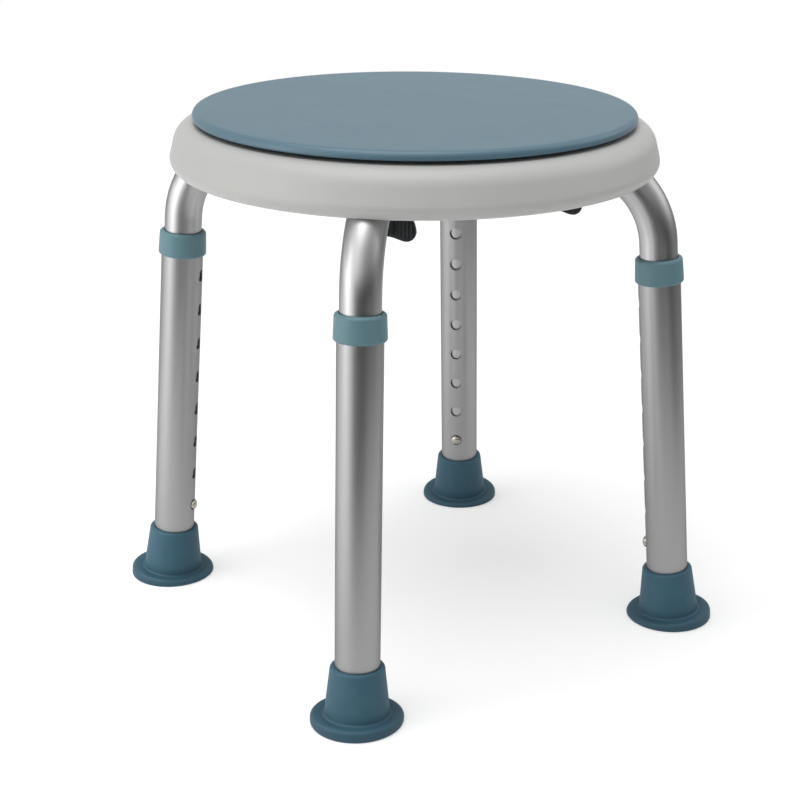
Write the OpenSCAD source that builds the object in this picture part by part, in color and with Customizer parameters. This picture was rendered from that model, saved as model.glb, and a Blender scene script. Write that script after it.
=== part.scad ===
// Round shower stool: a disc turns on a moulded base, and four bent tubes carry the base.
// Each leg is a telescope: the outer tube slides down the inner one and a snap button locks it.
// Millimetres, Z up. The origin is on the floor, under the middle of the seat.

/* [Stance] */
// Height of the arms' centre lines above the floor, with the legs at their lowest
arm_height = 326.5; // [310:0.5:345]
// Distance from the stool's middle to each leg's centre line, at the floor
foot_reach = 184; // [176:1:194]
// Slope of each leg away from upright, in degrees
splay = 4.35; // [3.5:0.05:5.5]

/* [Seat base] */
// Largest diameter of the base
base_d = 323; // [319:0.5:332]
// Thickness of the base from its bottom to its top face
base_t = 30.5; // [28:0.5:32]
// How much further the side reaches out at its bottom than at its top
base_draft = 2.4; // [1:0.1:4]
// Radius of the rim's upper edge
base_top_r = 14; // [11:0.5:15]
// Radius of the rim's lower edge
base_bottom_r = 8; // [6:0.5:9]
// Wall of the hollow base
base_wall = 3; // [2.4:0.1:3.4]
// Plastic between an arm and the base's top face
arm_roof = 6.2; // [4.8:0.1:6.5]
// Space round an arm in its channel
arm_clear = 0.3; // [0.25:0.05:0.5]
// Radius of the solid core in the middle of the base
core_r = 22; // [20:0.5:23]

/* [Swivel disc] */
// Diameter of the turning disc
disc_d = 292; // [286:1:298]
// Height of the disc's edge
disc_t = 5.5; // [5:0.1:6.5]
// Thickness of the disc inside its edge
disc_skin = 3; // [2.6:0.1:3.4]
// Space between the disc's edge and the base
disc_gap = 2.8; // [2.4:0.1:4.4]
// Radius of the disc's upper edge
disc_edge_r = 2; // [1:0.1:2.4]
// Width of the lip that hangs from the disc's edge
disc_lip = 4; // [3:0.5:6]
// Number of ribs under the disc
disc_ribs = 16; // [8:1:24]
// Thickness of each rib under the disc
disc_rib_t = 2; // [1.6:0.1:3]

/* [Seat bearing] */
// Diameter of each ball
ball_d = 6; // [5.5:0.1:6.5]
// Number of balls
ball_count = 24; // [12:1:28]
// Diameter of the circle of balls
ball_circle_d = 120; // [110:1:124]
// Width of each race
race_w = 16; // [14:0.5:20]
// Plastic left behind each race's groove
race_floor = 1.15; // [0.8:0.05:1.5]
// Play between a ball and its grooves
ball_play = 0.1; // [0.05:0.01:0.15]
// Thickness of the ball cage
cage_t = 1.2; // [0.8:0.1:1.6]
// Space between the cage and each race
cage_play = 0.2; // [0.1:0.05:0.3]
// Space round the bearing in the base's recess
recess_play = 0.5; // [0.4:0.1:1]

/* [Seat pivot] */
// Diameter of the disc's spigot
spigot_d = 20; // [18:0.5:22]
// Running clearance between spigot and bush, all round
spigot_fit = 0.05; // [0.02:0.01:0.08]
// Wall of the pivot bush
bush_wall = 2; // [1.5:0.1:2.5]
// Thickness of the bush's flange
bush_flange_t = 1.5; // [1:0.1:2]
// How far the bush's flange stands out
bush_flange_w = 3; // [2:0.5:4]
// Diameter of the pivot bolt
pivot_bolt_d = 8; // [6:1:8]
// Length of the pivot bolt under its head
pivot_bolt_l = 18; // [14:0.5:20]
// Width of the bolt's head across its flats
pivot_head_w = 13; // [11:0.5:14]
// Height of the bolt's head
pivot_head_t = 5.3; // [4:0.1:6]
// Diameter of the pivot washer
pivot_washer_d = 30; // [28:0.5:36]
// Thickness of the pivot washer
pivot_washer_t = 2; // [1.5:0.1:3]
// Play between the pivot washer and the base
pivot_play = 0.3; // [0.2:0.05:0.5]
// Wall of the brass insert in the spigot
pivot_insert_wall = 1.6; // [1.2:0.1:2]
// Length of the brass insert in the spigot
pivot_insert_l = 14; // [10:0.5:16]

/* [Tubes] */
// Outer diameter of the upper, bent tube
upper_tube_d = 25.4; // [24.8:0.1:26]
// Wall of both tubes
tube_wall = 1.3; // [1:0.1:1.6]
// Space between the upper and the lower tube, all round
slide_gap = 0.3; // [0.2:0.05:0.4]
// Bend radius of the upper tube's centre line
bend_r = 60; // [56:0.5:63]
// How much the bend draws the tube in, measured on its radius
bend_draw = 0.05; // [0.04:0.01:0.1]
// Distance from the stool's middle to the arm's inner end
arm_start = 26; // [25:0.5:28]
// Length of upper tube below its snap button
tube_tail = 18; // [14:0.5:22]
// Height of the locked hole along the leg
first_hole = 56; // [50:0.5:62]
// Spacing of the height holes
hole_pitch = 25; // [24:0.1:26]
// Length of lower tube above its last hole
tube_head = 29; // [26:0.5:34]
// Least straight tube between the top collar and the bend
collar_space = 10; // [8:0.5:14]

/* [Snap button] */
// Diameter of the snap button
button_d = 7.8; // [7:0.1:8]
// How much larger the holes are than the button
button_play = 0.6; // [0.4:0.1:1]
// How far the button stands out of the lower tube
button_out = 2.4; // [1.8:0.1:3]
// Thickness of the flange that keeps the button in
button_flange_t = 0.8; // [0.6:0.1:1.2]
// How far that flange stands out
button_flange_w = 0.9; // [0.6:0.1:1.2]
// Thickness of the spring strip
strip_t = 0.6; // [0.4:0.1:0.9]
// Width of the spring strip
strip_w = 8; // [7:0.5:9]
// Length of the spring strip, from the button to its bend
strip_l = 34; // [28:1:44]
// Length of strip on the other side of the button
strip_tail = 7; // [6:0.5:9]

/* [Collar] */
// Height of the collar
collar_h = 17; // [14:0.5:22]
// Thickness of the collar's wall at its foot
collar_wall = 2.1; // [1.7:0.1:3]
// How much thinner the collar is at its top
collar_taper = 0.4; // [0:0.1:0.6]
// Thickness of the lip over the tube's end
collar_lip = 2.3; // [1.6:0.1:3.5]
// Radius of the collar's outer edges
collar_edge_r = 1.6; // [1:0.1:1.7]
// Space that keeps a fitted piece just free of its seat
seat_fit = 0.05; // [0.03:0.01:0.1]

/* [Feet] */
// Diameter of the foot's flange
foot_flange_d = 59.2; // [56:0.2:64]
// Thickness of the flange, measured up the leg's centre line
foot_flange_t = 5.5; // [4.5:0.1:7]
// Radius of the flange's upper edge
foot_edge_r = 2; // [1:0.1:2.4]
// Diameter of the cup where it meets the flange
foot_neck_d = 41; // [39:0.5:44]
// Height of the foot along the leg
foot_h = 38; // [34:0.5:42]
// Wall of the cup at its mouth
foot_wall = 2.8; // [2.2:0.1:3.6]
// Radius of the cup's mouth edge
foot_lip_r = 1.3; // [0.8:0.1:1.4]
// Radius of the sweep from cup to flange
foot_sweep_r = 3; // [2:0.1:5]
// Rubber under the steel disc
foot_floor = 5; // [4:0.1:7]
// Thickness of the steel disc in the foot
foot_disc_t = 1.5; // [1:0.1:2.5]
// Depth of the grip rings under the foot
tread_depth = 1; // [0.6:0.1:1.5]
// Width of each grip ring
tread_w = 2.4; // [1.6:0.1:3]
// Spacing of the grip rings
tread_pitch = 6; // [5:0.5:7]
// Number of grip rings
tread_rings = 3; // [1:1:3]

/* [Hand screws] */
// Distance from the start of an arm's bend back to its hand screw
screw_back = 10.55; // [10:0.05:18]
// Diameter of the screw's thread
screw_d = 6; // [5:0.1:6.4]
// Space round the screw in the tube and the washer
screw_play = 0.4; // [0.3:0.05:0.6]
// Thread engaged in the insert
screw_bite = 4.2; // [3.6:0.1:4.4]
// Wall of the brass insert in the base
insert_wall = 1.8; // [1.4:0.1:2.4]
// Length of the brass insert in the base
insert_l = 4.5; // [4.4:0.1:4.7]
// Diameter of the washer under the arm
washer_d = 19; // [17:0.5:22]
// Thickness of the washer under the arm
washer_t = 2; // [1.5:0.1:3]
// Height of the wing knob
knob_h = 24.5; // [22:0.5:28]
// Half the width across the wings
knob_reach = 19; // [17:0.5:21]
// Thickness of the wings
wing_t = 6.5; // [5:0.1:8]
// Radius of each wing's round end
wing_end_r = 6; // [5:0.1:7]
// Depth of the wings' top edge below the knob's top
wing_drop = 2; // [1:0.5:3]
// Depth of each wing's shoulder below the knob's top
shoulder_drop = 11; // [8:0.5:13]
// How far each wing's shoulder lies in from its end
shoulder_in = 2.2; // [1.5:0.1:3]
// Diameter of the knob's hub
knob_hub_d = 15; // [13:0.5:17]
// How much the hub's radius narrows downwards
hub_taper = 1.5; // [0.5:0.1:2]
// Height of the hub's foot above the wings' lowest point
hub_lift = 3.5; // [2:0.5:5]
// How far each knob's wings stand turned from its arm, in degrees: front, right, back, left
knob_turns = [90, 0, 64, 118];

/* [Hidden] */
LEGS = ["front", "right", "back", "left"];
LEG_TURNS = [-90, 0, 90, 180];
LEG_PIECES = [
  "upper_tube", "arm_plug", "snap_spring", "snap_button", "lower_tube", "collar",
  "foot", "foot_disc", "saddle_washer", "hand_knob", "screw_stud"
];

$fn = 64;
over = 1;           // how far a cut runs past what it cuts
sliver = 0.01;      // keeps two faces from lying exactly on each other
WHITE = "whitesmoke";
TEAL = "#5f8f9c";
METAL = "#b4b5b7";
STEEL = "#8d8f92";
BRASS = "#b99a4b";
BLACK = "#24282a";

// Tubes
upper_r = upper_tube_d / 2;
upper_bore_r = upper_r - tube_wall;
lower_bore_r = upper_r + slide_gap;
lower_r = lower_bore_r + tube_wall;
bend_turn = 90 - splay;
corner_reach = foot_reach - arm_height * tan(splay);
bend_start = corner_reach - bend_r * tan(bend_turn / 2);
bend_z = arm_height - bend_r;
bend_end = (bend_z + bend_r * sin(splay)) / cos(splay);
bend_lap = 0.5;     // how far each straight end runs into the drawn-in bend
screw_reach = bend_start - screw_back;
hole_room = bend_end - collar_space - tube_head - first_hole;
hole_count = 1 + floor(hole_room / hole_pitch);
last_hole = first_hole + (hole_count - 1) * hole_pitch;
lower_top = last_hole + tube_head;
hole_d = button_d + button_play;
button_flange_r = button_d / 2 + button_flange_w;
button_rim = sqrt(pow(upper_bore_r, 2) - pow(button_flange_r, 2));
button_seat = button_rim - button_flange_t - seat_fit;

// Seat base
base_top = arm_height + upper_r + arm_clear + arm_roof;
base_bottom = base_top - base_t;
channel_r = upper_r + arm_clear;
plug_flange = 1.5;
channel_start = arm_start - plug_flange - arm_clear;

// Bearing, from the base's recess up to the disc's underside
groove_r = ball_d / 2 + ball_play;
stack_h = 2 * (race_floor + groove_r);
disc_top = base_top + disc_gap + disc_t;
disc_under = disc_top - disc_skin;
recess_floor = disc_under - stack_h;
ball_z = recess_floor + stack_h / 2;
race_t = stack_h / 2 - cage_t / 2 - cage_play;
race_in_r = (ball_circle_d - race_w) / 2;
race_out_r = (ball_circle_d + race_w) / 2;
recess_r = race_out_r + recess_play;

// Pivot
spigot_r = spigot_d / 2;
bush_in_r = spigot_r + spigot_fit;
bush_out_r = bush_in_r + bush_wall;
bush_hole_r = bush_out_r + seat_fit;
spigot_end = base_bottom - pivot_play;
pivot_insert_r = pivot_bolt_d / 2 + seat_fit + pivot_insert_wall;

// Hand screws
screw_r = screw_d / 2;
insert_r = screw_r + insert_wall;
channel_roof = arm_height + channel_r;
washer_top = arm_height - upper_r - arm_clear;
knob_top = washer_top - washer_t - seat_fit;
stud_top = channel_roof + screw_bite;
stud_in_knob = 12;

// Feet
foot_bore_r = lower_r + seat_fit;
foot_mouth_r = foot_bore_r + foot_wall;
tube_foot = foot_floor + foot_disc_t;

// Angle of the straight line that touches two round corners, seen from their centres
function touch_angle(c1, r1, c2, r2) =
  let (d = c1 - c2)
  atan2(d.y, d.x) - acos((r2 - r1) / norm(d));

// Point on a round corner
function on_corner(c, r, turn) = c + r * [cos(turn), sin(turn)];

// The straight leg's own frame: Z runs up the leg from the floor, X points outwards
module at_leg(i) {
  rotate([0, 0, LEG_TURNS[i]])
    translate([foot_reach, 0, 0])
      rotate([0, -splay, 0])
        children();
}

// The arm's own frame: X runs outwards along the arm
module at_arm(i) {
  rotate([0, 0, LEG_TURNS[i]])
    children();
}

module at_screw(i) {
  at_arm(i)
    translate([screw_reach, 0, 0])
      children();
}

// Outline of half the base, drawn in by the wall for its hollow
module base_outline(inset) {
  r1 = base_top_r - inset;
  r2 = base_bottom_r - inset;
  c1 = [base_d / 2 - base_draft - base_top_r, base_top - base_top_r];
  c2 = [base_d / 2 - base_bottom_r, base_bottom + base_bottom_r];
  turn = touch_angle(c1, r1, c2, r2);
  translate(c1)
    circle(r1);
  translate(c2)
    circle(r2);
  polygon([
    [0, base_bottom + inset], [c2.x, base_bottom + inset], c2,
    on_corner(c2, r2, turn), on_corner(c1, r1, turn),
    c1, [c1.x, base_top - inset], [0, base_top - inset]
  ]);
}

// A bent tube's round body, from the arm's inner end round the bend and down the leg
module bent_body(r, start, end) {
  translate([start, 0, arm_height])
    rotate([0, 90, 0])
      cylinder(r = r, h = bend_start + bend_lap - start);
  translate([bend_start, 0, bend_z])
    rotate([90, 0, 0])
      rotate([0, 0, splay])
        rotate_extrude(angle = bend_turn)
          translate([bend_r, 0])
            circle(r - bend_draw);
  translate([foot_reach, 0, 0])
    rotate([0, -splay, 0])
      translate([0, 0, end])
        cylinder(r = r, h = bend_end + bend_lap - end);
}

// Space for an arm in the base: round at the roof, open at the bottom
module arm_channel(grow) {
  r = upper_r + grow;
  start = channel_start - (grow - arm_clear);
  bent_body(r, start, first_hole);
  rotate([90, 0, 0])
    linear_extrude(2 * r, center = true) {
      translate([start, bend_z])
        square([bend_start - start, bend_r]);
      intersection() {
        translate([bend_start, bend_z])
          circle(bend_r);
        translate([bend_start, bend_z])
          square([bend_r, bend_r]);
      }
    }
}

module seat_base() {
  color(WHITE)
    difference() {
      rotate_extrude()
        intersection() {
          base_outline(0);
          translate([0, base_bottom])
            square([base_d, base_t]);
        }
      // Hollow of the moulding, kept clear of the core, the channels and the recess
      difference() {
        rotate_extrude()
          difference() {
            base_outline(base_wall);
            square([core_r, base_top]);
            translate([0, recess_floor - base_wall])
              square([recess_r + base_wall, base_t]);
          }
        for (i = [0:3])
          at_arm(i)
            arm_channel(arm_clear + base_wall);
      }
      for (i = [0:3])
        at_arm(i)
          arm_channel(arm_clear);
      for (i = [0:3])
        at_screw(i)
          translate([0, 0, channel_roof - over])
            cylinder(r = insert_r + seat_fit, h = insert_l + over);
      translate([0, 0, recess_floor])
        cylinder(r = recess_r, h = base_t);
      translate([0, 0, base_bottom - over])
        cylinder(r = bush_hole_r, h = base_t);
    }
}

module threaded_inserts() {
  color(BRASS)
    for (i = [0:3])
      at_screw(i)
        translate([0, 0, channel_roof])
          difference() {
            cylinder(r = insert_r, h = insert_l - seat_fit);
            translate([0, 0, -over])
              cylinder(r = screw_r + seat_fit, h = insert_l + 2 * over);
          }
}

// Ring with a ball groove in its upper face
module race() {
  rotate_extrude()
    difference() {
      translate([race_in_r, 0])
        square([race_w, race_t]);
      translate([ball_circle_d / 2, stack_h / 2])
        circle(groove_r);
    }
}

module lower_race() {
  color(BLACK)
    translate([0, 0, recess_floor])
      race();
}

module upper_race() {
  color(BLACK)
    translate([0, 0, disc_under])
      mirror([0, 0, 1])
        race();
}

module at_balls() {
  for (i = [0:ball_count - 1])
    rotate([0, 0, 360 * i / ball_count])
      translate([ball_circle_d / 2, 0, ball_z])
        children();
}

module ball_cage() {
  color("ivory")
    difference() {
      translate([0, 0, ball_z - cage_t / 2])
        difference() {
          cylinder(r = race_out_r - cage_t, h = cage_t);
          translate([0, 0, -over])
            cylinder(r = race_in_r + cage_t, h = cage_t + 2 * over);
        }
      at_balls()
        cylinder(d = ball_d + 2 * cage_play, h = ball_d, center = true);
    }
}

module bearing_balls() {
  color(STEEL)
    at_balls()
      sphere(d = ball_d);
}

module pivot_bush() {
  color("ivory")
    rotate_extrude()
      difference() {
        union() {
          translate([0, base_bottom])
            square([bush_out_r, recess_floor - base_bottom]);
          translate([0, recess_floor])
            square([bush_out_r + bush_flange_w, bush_flange_t]);
        }
        square([bush_in_r, disc_top]);
      }
}

module swivel_disc() {
  disc_r = disc_d / 2;
  color(TEAL) {
    difference() {
      rotate_extrude() {
        translate([0, disc_under])
          square([disc_r - disc_edge_r, disc_skin]);
        translate([disc_r - disc_lip, disc_top - disc_t])
          square([disc_lip, disc_t - disc_edge_r]);
        translate([disc_r - disc_edge_r, disc_top - disc_edge_r])
          circle(disc_edge_r);
        translate([0, spigot_end])
          square([spigot_r, disc_top - spigot_end - sliver]);
      }
      translate([0, 0, spigot_end - over])
        cylinder(r = pivot_insert_r + seat_fit, h = pivot_insert_l + over);
      translate([0, 0, spigot_end - over])
        cylinder(r = pivot_bolt_d / 2 + seat_fit, h = pivot_bolt_l + over);
    }
    for (i = [0:disc_ribs - 1])
      rotate([0, 0, 360 * (i + 0.5) / disc_ribs])
        translate([recess_r, -disc_rib_t / 2, disc_top - disc_t])
          cube([disc_r - disc_lip / 2 - recess_r, disc_rib_t, disc_t - disc_skin / 2]);
  }
}

module pivot_insert() {
  color(BRASS)
    translate([0, 0, spigot_end])
      difference() {
        cylinder(r = pivot_insert_r, h = pivot_insert_l - seat_fit);
        translate([0, 0, -over])
          cylinder(r = pivot_bolt_d / 2 + seat_fit, h = pivot_insert_l + 2 * over);
      }
}

module pivot_washer() {
  color(STEEL)
    translate([0, 0, spigot_end - pivot_washer_t])
      difference() {
        cylinder(d = pivot_washer_d, h = pivot_washer_t);
        translate([0, 0, -over])
          cylinder(r = pivot_bolt_d / 2 + seat_fit, h = pivot_washer_t + 2 * over);
      }
}

module pivot_bolt() {
  head_z = spigot_end - pivot_washer_t - pivot_head_t;
  color(STEEL)
    translate([0, 0, head_z]) {
      cylinder(d = pivot_head_w / cos(30), h = pivot_head_t, $fn = 6);
      cylinder(d = pivot_bolt_d, h = pivot_head_t + pivot_bolt_l - over);
    }
}

module upper_tube(i) {
  tail = first_hole - tube_tail;
  color(METAL)
    difference() {
      at_arm(i)
        bent_body(upper_r, arm_start, tail);
      at_arm(i)
        bent_body(upper_bore_r, arm_start - over, tail - over);
      at_screw(i)
        translate([0, 0, arm_height - upper_tube_d])
          cylinder(r = screw_r + screw_play, h = 2 * upper_tube_d);
      at_leg(i)
        translate([0, 0, first_hole])
          rotate([0, -90, 0])
            cylinder(d = hole_d, h = upper_tube_d);
    }
}

// Plug that closes the arm's inner end
module arm_plug(i) {
  grip_l = 9;
  hollow_r = upper_bore_r - 2;
  color(BLACK)
    at_arm(i)
      translate([arm_start, 0, arm_height])
        rotate([0, 90, 0])
          difference() {
            union() {
              translate([0, 0, -plug_flange])
                cylinder(r = upper_r, h = plug_flange);
              cylinder(r = upper_bore_r - seat_fit, h = grip_l);
            }
            cylinder(r = hollow_r, h = grip_l + over);
          }
}

// The strip lies against the tube's far wall, turns at its bend and carries the button
module snap_spring(i) {
  button_x = seat_fit - button_seat;
  wall_x = upper_bore_r - 1;
  bend_up = first_hole + strip_l;
  tip = first_hole - strip_tail;
  color(STEEL)
    at_leg(i)
      rotate([90, 0, 0])
        linear_extrude(strip_w, center = true)
          polygon([
            [button_x, tip], [button_x + strip_t, tip],
            [button_x + strip_t, first_hole + strip_tail],
            [wall_x - 2 * strip_t, bend_up - strip_t],
            [wall_x - strip_t, bend_up - strip_t],
            [wall_x - strip_t, tip], [wall_x, tip],
            [wall_x, bend_up],
            [wall_x - 2.5 * strip_t, bend_up],
            [button_x, first_hole + strip_tail + strip_t]
          ]);
}

// Domed button, with a flange that the tube's wall holds back
module snap_button(i) {
  button_r = button_d / 2;
  dome_h = 1.6;
  dome_r = (button_r * button_r + dome_h * dome_h) / (2 * dome_h);
  outer_x = lower_r + button_out;
  color(STEEL)
    at_leg(i)
      translate([0, 0, first_hole])
        rotate([0, -90, 0]) {
          translate([0, 0, button_seat])
            cylinder(r = button_flange_r, h = button_flange_t);
          rotate_extrude()
            intersection() {
              translate([0, button_seat])
                square([button_r, outer_x - button_seat]);
              translate([0, outer_x - dome_r])
                circle(dome_r, $fn = 128);
            }
        }
}

module lower_tube(i) {
  color(METAL)
    at_leg(i)
      difference() {
        translate([0, 0, tube_foot])
          cylinder(r = lower_r, h = lower_top - tube_foot);
        translate([0, 0, tube_foot - over])
          cylinder(r = lower_bore_r, h = lower_top - tube_foot + 2 * over);
        for (k = [0:hole_count - 1])
          translate([0, 0, first_hole + k * hole_pitch])
            rotate([0, -90, 0])
              cylinder(d = hole_d, h = 2 * lower_r);
      }
}

module collar(i) {
  low_r = lower_r + collar_wall;
  high_r = low_r - collar_taper;
  e = collar_edge_r;
  color(TEAL)
    at_leg(i)
      translate([0, 0, lower_top + collar_lip - collar_h])
        rotate_extrude()
          difference() {
            union() {
              polygon([
                [0, 0], [low_r - e, 0], [low_r - e, e], [low_r, e],
                [high_r, collar_h - e], [high_r - e, collar_h - e],
                [high_r - e, collar_h], [0, collar_h]
              ]);
              translate([low_r - e, e])
                circle(e);
              translate([high_r - e, collar_h - e])
                circle(e);
            }
            translate([0, -over])
              square([lower_r + seat_fit, collar_h - collar_lip + over]);
            square([upper_r + slide_gap, collar_h + over]);
          }
}

// Cup and flange lean with the leg, and the floor's plane cuts the flange's underside level
module foot(i) {
  flange_r = foot_flange_d / 2;
  neck_r = foot_neck_d / 2;
  tread_start = flange_r - foot_edge_r - tread_w - tread_rings * tread_pitch;
  color(TEAL)
    difference() {
      at_leg(i)
        rotate_extrude()
          difference() {
            union() {
              translate([0, -foot_flange_t])
                square([flange_r, 2 * foot_flange_t - foot_edge_r]);
              square([flange_r - foot_edge_r, foot_flange_t]);
              translate([flange_r - foot_edge_r, foot_flange_t - foot_edge_r])
                circle(foot_edge_r);
              polygon([
                [0, 0], [neck_r + foot_sweep_r, 0],
                [neck_r + foot_sweep_r, foot_flange_t],
                [neck_r, foot_flange_t + foot_sweep_r],
                [foot_mouth_r, foot_h - foot_lip_r],
                [foot_mouth_r - foot_lip_r, foot_h], [0, foot_h]
              ]);
              translate([foot_mouth_r - foot_lip_r, foot_h - foot_lip_r])
                circle(foot_lip_r);
            }
            translate([neck_r + foot_sweep_r, foot_flange_t + foot_sweep_r])
              circle(foot_sweep_r);
            translate([0, foot_floor])
              square([foot_bore_r, foot_h]);
          }
      at_arm(i)
        translate([foot_reach, 0, 0]) {
          translate([0, 0, -foot_h])
            cylinder(r = 2 * flange_r, h = foot_h);
          rotate_extrude()
            for (k = [0:tread_rings - 1])
              translate([tread_start + k * tread_pitch, -over])
                square([tread_w, tread_depth + over]);
        }
    }
}

module foot_disc(i) {
  color(STEEL)
    at_leg(i)
      translate([0, 0, foot_floor])
        cylinder(r = lower_r - seat_fit, h = foot_disc_t);
}

module saddle_washer(i) {
  color(STEEL)
    at_screw(i)
      translate([0, 0, washer_top - washer_t])
        difference() {
          cylinder(d = washer_d, h = washer_t);
          translate([0, 0, -over])
            cylinder(r = screw_r + screw_play, h = washer_t + 2 * over);
        }
}

// Outline of one wing, from the hub's axis to its round end; heights run down from the knob's top
module wing_outline() {
  end = [knob_reach - wing_end_r, wing_end_r - knob_h];
  translate(end)
    circle(wing_end_r);
  polygon([
    [0, -wing_drop], [knob_hub_d / 2, -wing_drop],
    [knob_reach - shoulder_in, -shoulder_drop], [knob_reach, end[1]],
    end, [end[0], -knob_h], [0, hub_lift - knob_h]
  ]);
}

module hand_knob(i) {
  hub_r = knob_hub_d / 2;
  hub_h = knob_h - hub_lift;
  color(BLACK)
    at_screw(i)
      rotate([0, 0, knob_turns[i]])
        translate([0, 0, knob_top])
          difference() {
            union() {
              translate([0, 0, -hub_h])
                cylinder(r1 = hub_r - hub_taper, r2 = hub_r, h = hub_h);
              for (side = [0, 180])
                rotate([90, 0, side])
                  linear_extrude(wing_t, center = true)
                    wing_outline();
            }
            translate([0, 0, -stud_in_knob])
              cylinder(r = screw_r + seat_fit, h = stud_in_knob + over);
          }
}

module screw_stud(i) {
  color(STEEL)
    at_screw(i)
      translate([0, 0, knob_top - stud_in_knob])
        cylinder(r = screw_r, h = stud_top - knob_top + stud_in_knob);
}

module leg_piece(i, piece) {
  if (piece == "upper_tube") upper_tube(i);
  if (piece == "arm_plug") arm_plug(i);
  if (piece == "snap_spring") snap_spring(i);
  if (piece == "snap_button") snap_button(i);
  if (piece == "lower_tube") lower_tube(i);
  if (piece == "collar") collar(i);
  if (piece == "foot") foot(i);
  if (piece == "foot_disc") foot_disc(i);
  if (piece == "saddle_washer") saddle_washer(i);
  if (piece == "hand_knob") hand_knob(i);
  if (piece == "screw_stud") screw_stud(i);
}

seat_base();
threaded_inserts();
lower_race();
pivot_bush();
swivel_disc();
upper_race();
pivot_insert();
pivot_washer();
pivot_bolt();
ball_cage();
bearing_balls();
for (i = [0:3])
  for (piece = LEG_PIECES)
    leg_piece(i, piece);
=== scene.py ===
"""Shower stool: a turning seat disc on a moulded base, on four telescopic legs.

Metres, Z up, floor at z = 0, front leg towards -Y. Sections are written in millimetres and turned into
metres by MM.
"""

import math

import bmesh
import bpy
from mathutils import Matrix, Vector


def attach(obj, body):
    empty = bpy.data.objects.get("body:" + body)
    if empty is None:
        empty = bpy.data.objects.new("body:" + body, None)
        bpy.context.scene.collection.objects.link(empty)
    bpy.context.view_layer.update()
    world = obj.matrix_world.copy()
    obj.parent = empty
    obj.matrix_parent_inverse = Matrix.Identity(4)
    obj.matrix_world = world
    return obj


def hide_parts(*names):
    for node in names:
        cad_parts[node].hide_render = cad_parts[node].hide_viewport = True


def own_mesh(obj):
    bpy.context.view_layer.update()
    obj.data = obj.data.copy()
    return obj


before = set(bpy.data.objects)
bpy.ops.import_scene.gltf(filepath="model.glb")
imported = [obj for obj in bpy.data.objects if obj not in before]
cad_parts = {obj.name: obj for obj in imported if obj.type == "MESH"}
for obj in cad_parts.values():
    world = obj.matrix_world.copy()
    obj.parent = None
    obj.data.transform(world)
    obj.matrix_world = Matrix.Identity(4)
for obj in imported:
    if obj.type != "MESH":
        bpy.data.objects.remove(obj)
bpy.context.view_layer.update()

MM = 0.001

# Legs: their tilt, the arm's height, and where each leg's line meets the floor
SPLAY = math.radians(4.35)
ARM_Z = 326.5 * MM
FOOT_REACH = 184 * MM
LEGS = {"front": -90, "right": 0, "back": 90, "left": 180}

# Tubes
UPPER_R = 12.7 * MM
LOWER_R = 14.3 * MM
LOWER_BORE = 13.0 * MM
WALL = 1.3 * MM
BEND_R = 60 * MM
ARM_START = 26 * MM
TUBE_TAIL = 38 * MM
LOWER_FOOT = 6.5 * MM
LOWER_TOP = 260 * MM
FIRST_HOLE = 56 * MM
HOLE_PITCH = 25 * MM
HOLE_COUNT = 8
HOLE_R = 4.2 * MM

# Seat, in millimetres
RIM_R, RIM_DRAFT, RIM_TOP_R, RIM_LOW_R = 161.5, 2.4, 14, 8
BASE_TOP, BASE_BOTTOM, RECESS_FLOOR = 345.7, 315.2, 342.5
RECESS_R, BUSH_R = 68.5, 12.1
DISC_R, LIP_R, DISC_TOP, DISC_LOW, DISC_UNDER = 146, 142, 354, 348.2, 351
SPIGOT_R, SPIGOT_BORE, SPIGOT_END, SPIGOT_ROOF = 10, 5.7, 314.9, 330
DISC_RIBS = 16
BOLT_FACE, BOLT_HEAD, BOLT_TIP, HALF_FLATS = 312.9, 307.6, 332.6, 6.5

# Hand screws and lock buttons, in millimetres where no unit is given
SCREW_REACH = 93 * MM
KNOB_TOP, WASHER_LOW, WASHER_TOP = 311.45, 311.5, 313.5
KNOB_TURNS = {"front": 90, "right": 0, "back": 64, "left": 118}
WING_REACH, WING_END_R, WING_END_Z, WING_HALF_T = 19, 6.0, -18.5, 3.25
RIB_PITCH = 2.4
FLUTES = 16
BUTTON_R, BUTTON_TIP, DOME_H = 3.9, 16.7, 1.6
BUTTON_TRAVEL = 4 * MM

# Feet, in millimetres
FLANGE_R = 29.6
SOLE_EDGE = 1.1

BEND_TURN = math.pi / 2 - SPLAY
CORNER = FOOT_REACH - ARM_Z * math.tan(SPLAY)
BEND_START = CORNER - BEND_R * math.tan(BEND_TURN / 2)
BEND_END = (ARM_Z - BEND_R + BEND_R * math.sin(SPLAY)) / math.cos(SPLAY)


# ---------------------------------------------------------------- finishes

class Wire:
    """A value in a finish. Sums written with it add their Math nodes."""

    def __init__(self, finish, socket):
        self.finish = finish
        self.socket = socket

    def sum(self, kind, a, b):
        return self.finish.node("Math", {"operation": kind}, {0: a, 1: b})

    def __add__(self, other):
        return self.sum("ADD", self, other)

    def __radd__(self, other):
        return self.sum("ADD", other, self)

    def __sub__(self, other):
        return self.sum("SUBTRACT", self, other)

    def __rsub__(self, other):
        return self.sum("SUBTRACT", other, self)

    def __mul__(self, other):
        return self.sum("MULTIPLY", self, other)

    def __rmul__(self, other):
        return self.sum("MULTIPLY", other, self)

    def held(self):
        """The same value, held between 0 and 1."""
        return self.finish.node("Clamp", {}, {"Value": self})

    def step(self, low, high):
        """0 below low, 1 above high, and smooth between them."""
        return self.finish.node(
            "MapRange", {"interpolation_type": "SMOOTHSTEP"},
            {"Value": self, "From Min": low, "From Max": high},
        )


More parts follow.
